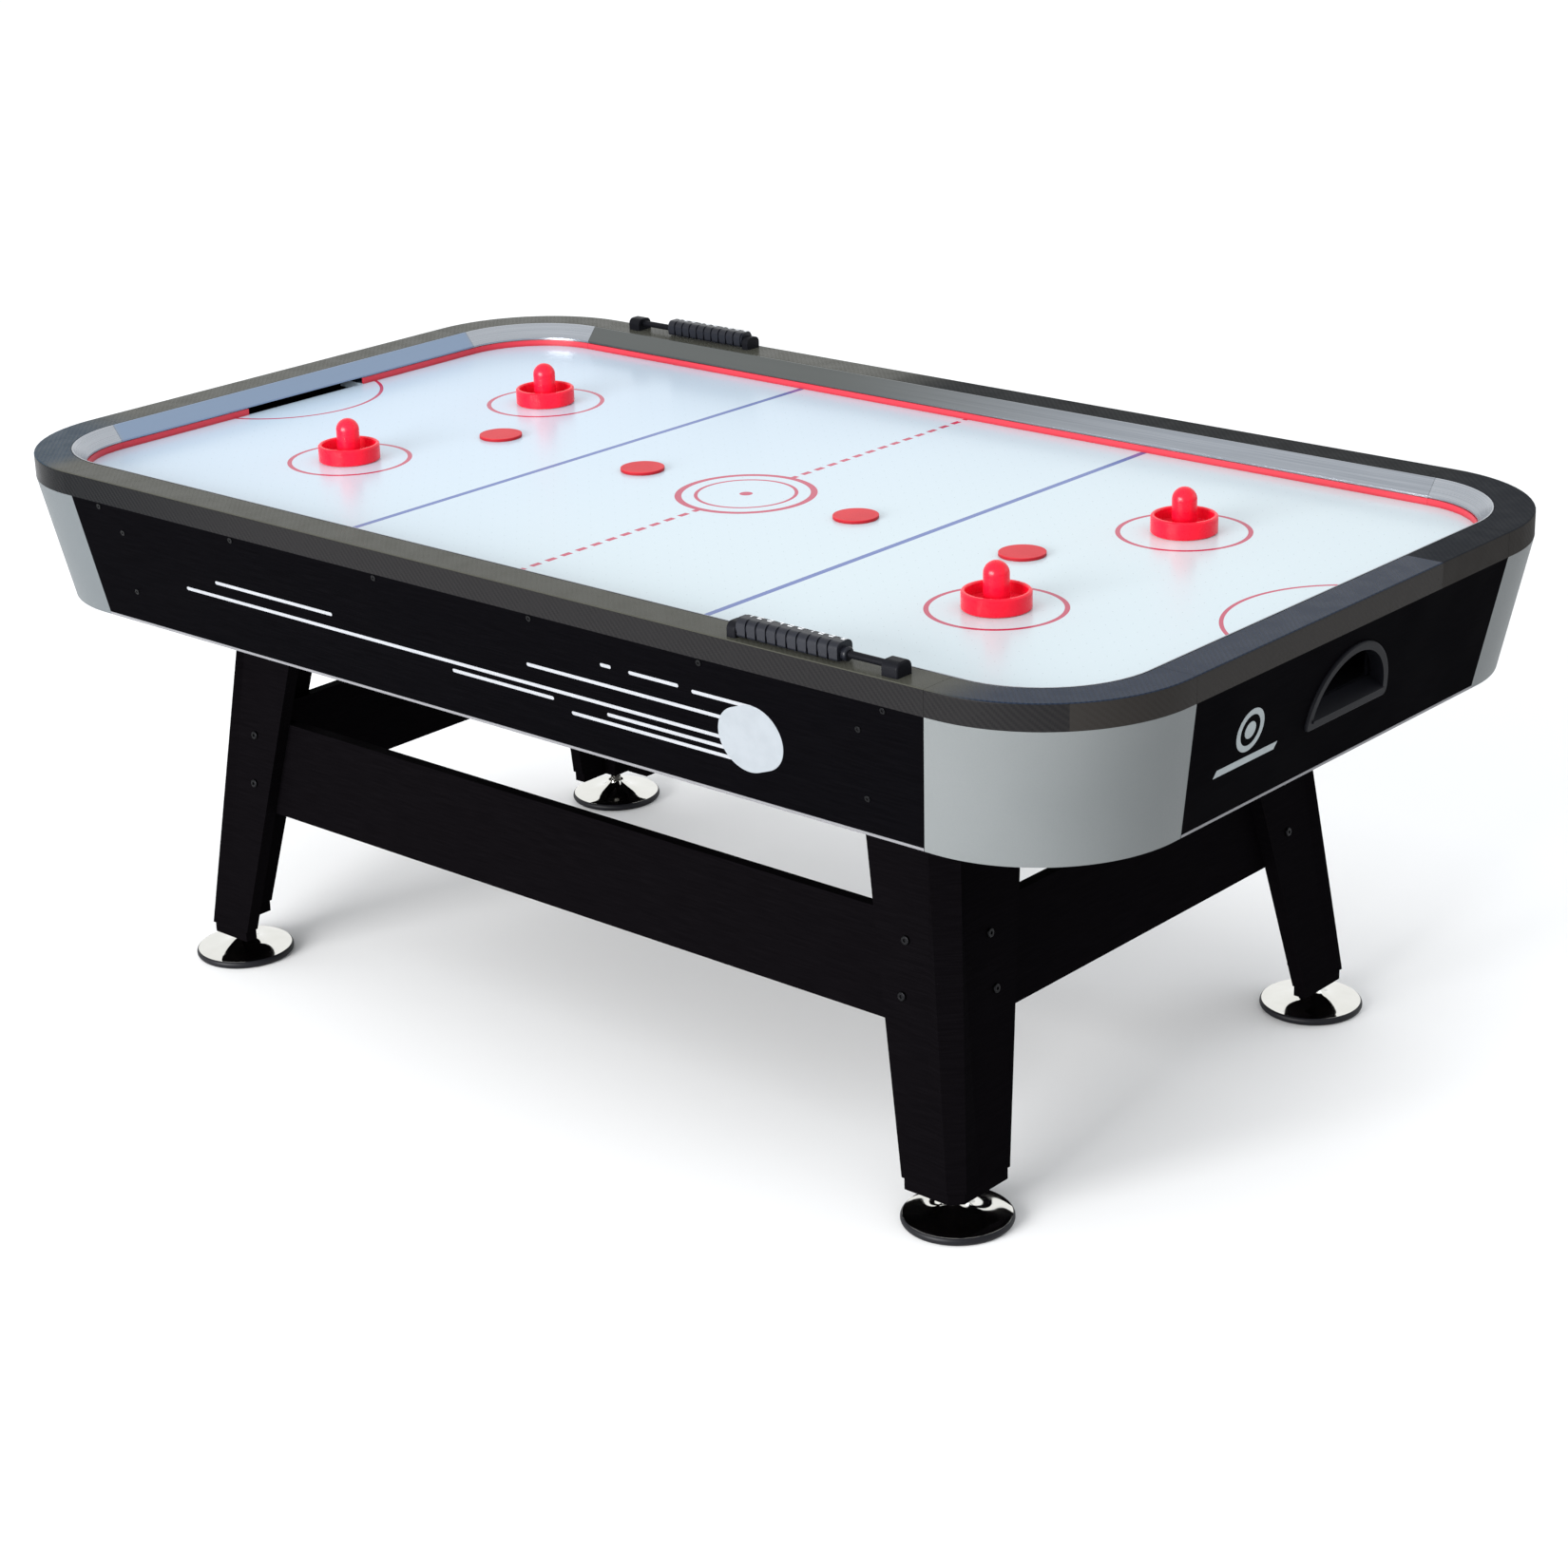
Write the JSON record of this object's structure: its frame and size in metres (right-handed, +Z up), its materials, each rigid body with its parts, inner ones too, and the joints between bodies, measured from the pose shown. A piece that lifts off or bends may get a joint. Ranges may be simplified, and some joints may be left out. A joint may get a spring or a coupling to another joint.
{
  "type": "air hockey table",
  "caption": "Air hockey table with leaning black sides, grey rounded corners, carbon-look rails, splayed legs, levelling feet, bead scorers, mallets and pucks.",
  "frame": {"origin": "on the floor under the middle of the table", "axes": "+X along the length towards the right-hand goal, +Y across the table away from the side with the graphic, +Z up"},
  "size_m": [2.14, 1.2226, 0.858],
  "materials": {
    "field_laminate": "high-gloss laminate",
    "black_board": "black PVC-laminated fibreboard, satin",
    "raw_board": "bare fibreboard",
    "softwood": "planed softwood",
    "shell_grey": "fine textured moulding",
    "carbon_laminate": "woven carbon-fibre pattern laminate",
    "bumper_aluminium": "satin extrusion",
    "corner_silver": "silver plastic moulding",
    "strip_red": "satin plastic strip",
    "black_plastic": "textured moulding",
    "bead_plastic": "semi-gloss moulding",
    "leg_board": "black PVC-laminated fibreboard, satin",
    "foot_chrome": "chromed steel over a rubber base",
    "stem_steel": "zinc-plated thread",
    "mallet_red": "glossy moulding",
    "puck_red": "satin disc",
    "fastener_black": "black oxide",
    "motor_steel": "enamelled steel"
  },
  "bodies": {
    "table": {"air_chamber_floor": "raw_board", "air_chamber_ribs": "softwood", "apron_battens": "softwood", "apron_screws": "fastener_black", "back_apron": "black_board", "back_left_corner_shell": "shell_grey", "back_left_leg": "leg_board", "back_rail": "carbon_laminate", "back_right_corner_shell": "shell_grey", "back_right_leg": "leg_board", "back_scorer_frame": "black_plastic", "back_stretcher": "leg_board", "blower_housing": "black_plastic", "blower_motor": "motor_steel", "bottom_panel": "black_board", "bumper_extrusions": "bumper_aluminium", "corner_bumpers": "corner_silver", "cushion_strips": "strip_red", "front_apron": "black_board", "front_left_corner_shell": "shell_grey", "front_left_leg": "leg_board", "front_rail": "carbon_laminate", "front_right_corner_shell": "shell_grey", "front_right_leg": "leg_board", "front_scorer_frame": "black_plastic", "front_stretcher": "leg_board", "left_apron": "black_board", "left_goal_box": "black_plastic", "left_puck_pocket": "black_plastic", "left_rail": "carbon_laminate", "left_stretcher": "leg_board", "leg_bolts": "fastener_black", "playfield_board": "field_laminate", "power_inlet": "black_plastic", "rail_corner_caps": "carbon_laminate", "right_apron": "black_board", "right_goal_box": "black_plastic", "right_puck_pocket": "black_plastic", "right_rail": "carbon_laminate", "right_stretcher": "leg_board"},
    "front_right_foot": {"front_right_foot_pad": "foot_chrome"},
    "front_right_stem": {"front_right_foot_stem": "stem_steel"},
    "back_right_foot": {"back_right_foot_pad": "foot_chrome"},
    "back_right_stem": {"back_right_foot_stem": "stem_steel"},
    "front_left_foot": {"front_left_foot_pad": "foot_chrome"},
    "front_left_stem": {"front_left_foot_stem": "stem_steel"},
    "back_left_foot": {"back_left_foot_pad": "foot_chrome"},
    "back_left_stem": {"back_left_foot_stem": "stem_steel"},
    "front_right_mallet": {"front_right_mallet": "mallet_red"},
    "back_right_mallet": {"back_right_mallet": "mallet_red"},
    "front_left_mallet": {"front_left_mallet": "mallet_red"},
    "back_left_mallet": {"back_left_mallet": "mallet_red"},
    "puck_1": {"puck_1": "puck_red"},
    "puck_2": {"puck_2": "puck_red"},
    "puck_3": {"puck_3": "puck_red"},
    "puck_4": {"puck_4": "puck_red"},
    "front_beads": {"front_score_beads": "bead_plastic"},
    "back_beads": {"back_score_beads": "bead_plastic"},
    "impeller": {"blower_impeller": "black_plastic"},
    "switch": {"power_switch": "bead_plastic"}
  },
  "joints": [
    {"name": "front_right_foot_height", "type": "slide", "parent": "table", "child": "front_right_foot", "axis": [0, 0, -1], "range_m": [0, 0.02]},
    {"name": "front_right_stem_turn", "type": "hinge", "parent": "front_right_foot", "child": "front_right_stem", "pos_m": [0.738, -0.435, 0.06], "axis": [0, 0, 1], "range_deg": [0, 4800]},
    {"name": "back_right_foot_height", "type": "slide", "parent": "table", "child": "back_right_foot", "axis": [0, 0, -1], "range_m": [0, 0.02]},
    {"name": "back_right_stem_turn", "type": "hinge", "parent": "back_right_foot", "child": "back_right_stem", "pos_m": [0.738, 0.435, 0.06], "axis": [0, 0, 1], "range_deg": [0, 4800]},
    {"name": "front_left_foot_height", "type": "slide", "parent": "table", "child": "front_left_foot", "axis": [0, 0, -1], "range_m": [0, 0.02]},
    {"name": "front_left_stem_turn", "type": "hinge", "parent": "front_left_foot", "child": "front_left_stem", "pos_m": [-0.738, -0.435, 0.06], "axis": [0, 0, 1], "range_deg": [0, 4800]},
    {"name": "back_left_foot_height", "type": "slide", "parent": "table", "child": "back_left_foot", "axis": [0, 0, -1], "range_m": [0, 0.02]},
    {"name": "back_left_stem_turn", "type": "hinge", "parent": "back_left_foot", "child": "back_left_stem", "pos_m": [-0.738, 0.435, 0.06], "axis": [0, 0, 1], "range_deg": [0, 4800]},
    {"name": "front_right_mallet_slide", "type": "slide", "parent": "table", "child": "front_right_mallet", "axis": [1, 0, 0], "range_m": [-0.58, 0.3]},
    {"name": "back_right_mallet_slide", "type": "slide", "parent": "table", "child": "back_right_mallet", "axis": [1, 0, 0], "range_m": [-0.58, 0.3]},
    {"name": "front_left_mallet_slide", "type": "slide", "parent": "table", "child": "front_left_mallet", "axis": [1, 0, 0], "range_m": [-0.3, 0.58]},
    {"name": "back_left_mallet_slide", "type": "slide", "parent": "table", "child": "back_left_mallet", "axis": [1, 0, 0], "range_m": [-0.3, 0.58]},
    {"name": "puck_1_slide", "type": "slide", "parent": "table", "child": "puck_1", "axis": [1, 0, 0], "range_m": [-0.41, 0.25]},
    {"name": "puck_2_slide", "type": "slide", "parent": "table", "child": "puck_2", "axis": [1, 0, 0], "range_m": [-0.25, 0.36]},
    {"name": "puck_3_slide", "type": "slide", "parent": "table", "child": "puck_3", "axis": [1, 0, 0], "range_m": [-0.36, 0.235]},
    {"name": "puck_4_slide", "type": "slide", "parent": "table", "child": "puck_4", "axis": [1, 0, 0], "range_m": [-0.235, 0.43]},
    {"name": "front_score_slide", "type": "slide", "parent": "table", "child": "front_beads", "axis": [1, 0, 0], "range_m": [0, 0.06]},
    {"name": "back_score_slide", "type": "slide", "parent": "table", "child": "back_beads", "axis": [-1, 0, 0], "range_m": [0, 0.06]},
    {"name": "impeller_spin", "type": "hinge", "parent": "table", "child": "impeller", "pos_m": [0, 0, 0.668], "axis": [0, 1, 0], "continuous": true},
    {"name": "switch_rock", "type": "hinge", "parent": "table", "child": "switch", "pos_m": [-0.654, 0.59501, 0.68976], "axis": [1, 0, 0], "range_deg": [-8, 8]}
  ],
  "couplings": [
    {"joint": "front_right_stem_turn", "follows": "front_right_foot_height", "rad_per_m": 4188.8},
    {"joint": "back_right_stem_turn", "follows": "back_right_foot_height", "rad_per_m": 4188.8},
    {"joint": "front_left_stem_turn", "follows": "front_left_foot_height", "rad_per_m": 4188.8},
    {"joint": "back_left_stem_turn", "follows": "back_left_foot_height", "rad_per_m": 4188.8}
  ]
}
